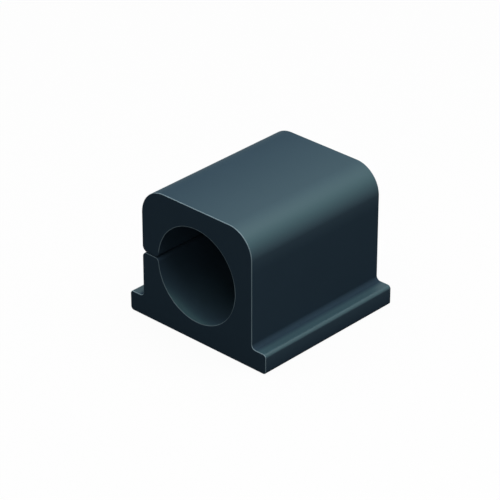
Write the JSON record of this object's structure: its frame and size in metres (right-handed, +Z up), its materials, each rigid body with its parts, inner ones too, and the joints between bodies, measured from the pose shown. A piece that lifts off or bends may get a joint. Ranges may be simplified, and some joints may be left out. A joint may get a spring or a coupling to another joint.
{
  "type": "cable clip",
  "caption": "Soft block cable clip with a flat flanged foot, a round cable bore along its length and a slit in the side wall where the lip bends open to take the cable.",
  "frame": {"origin": "middle of the foot's underside, on the surface that the clip sits on", "axes": "+X across the clip, away from the slit; +Y along the cable bore; +Z up from the foot"},
  "size_m": [0.02, 0.02, 0.016],
  "materials": {
    "soft_plastic": "satin graphite soft plastic with a slight blue tint"
  },
  "bodies": {
    "root": {"clip_body": "soft_plastic"}
  },
  "joints": []
}
